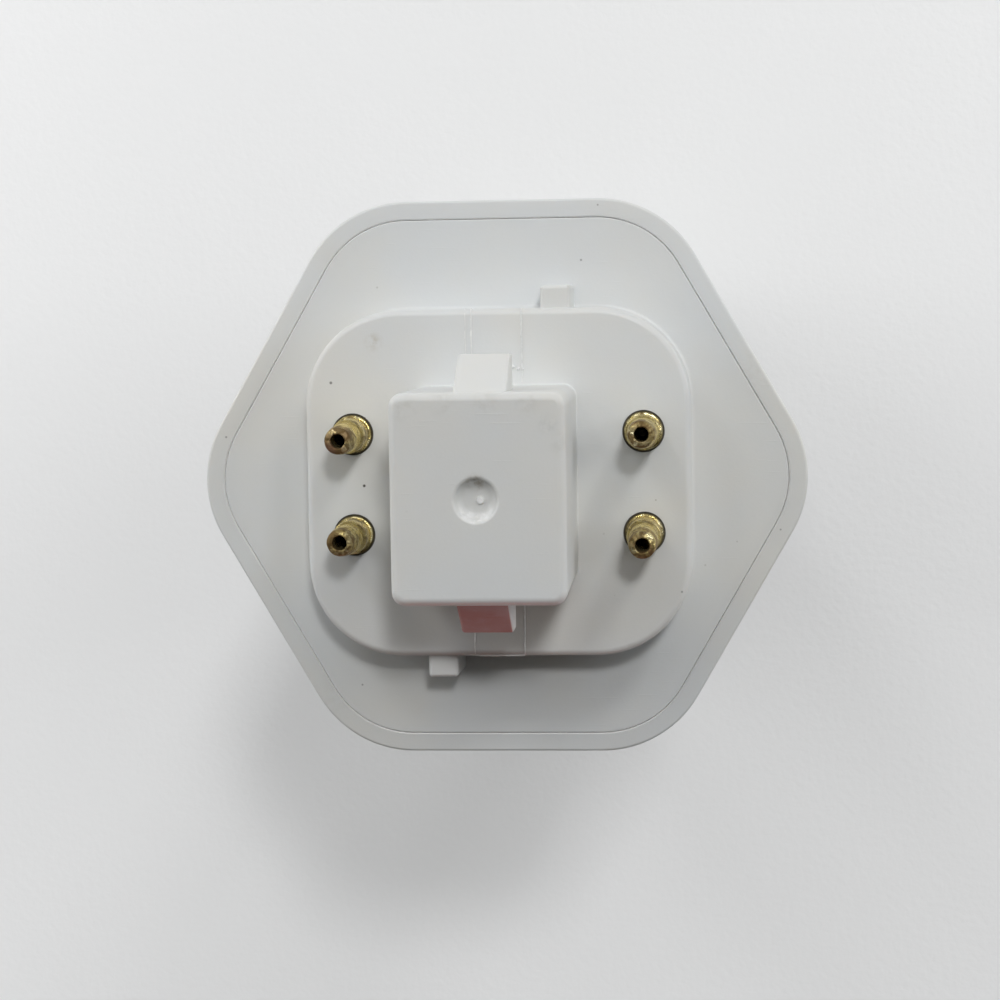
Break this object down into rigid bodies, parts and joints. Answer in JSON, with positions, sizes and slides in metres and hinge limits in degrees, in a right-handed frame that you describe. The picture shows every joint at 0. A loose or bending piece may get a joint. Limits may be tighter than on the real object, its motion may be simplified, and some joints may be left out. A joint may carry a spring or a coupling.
{
  "type": "compact fluorescent lamp",
  "caption": "Plug-in compact fluorescent lamp: hexagonal plastic housing, keyed cap with a latch post and brass contact pins, and a bundle of U-shaped glass tubes.",
  "frame": {"origin": "on the lamp's axis, on the cap's seating face: the top of the platform that the contact pins stand on", "axes": "+Z along the lamp's axis, out of the cap; +X through two corners of the hexagonal housing and along the long side of the pin rectangle; +Y across two of its flats"},
  "size_m": [0.0492, 0.045, 0.1471],
  "materials": {
    "housing_plastic": "satin off-white moulded thermoplastic",
    "cap_plastic": "satin off-white moulded thermoplastic",
    "pin_brass": "drawn brass, tarnished brown towards the tips",
    "lead_wire_metal": "dull drawn nickel-iron wire",
    "tube_glass": "clear glass, coated inside with opaque white phosphor",
    "cement": "matt off-white lamp cement"
  },
  "bodies": {
    "root": {"housing": "housing_plastic", "cap": "cap_plastic", "contact_pin_1": "pin_brass", "contact_pin_2": "pin_brass", "contact_pin_3": "pin_brass", "contact_pin_4": "pin_brass", "lead_wire_1": "lead_wire_metal", "lead_wire_2": "lead_wire_metal", "lead_wire_3": "lead_wire_metal", "lead_wire_4": "lead_wire_metal", "discharge_tube": "tube_glass", "tube_cement": "cement"}
  },
  "joints": []
}
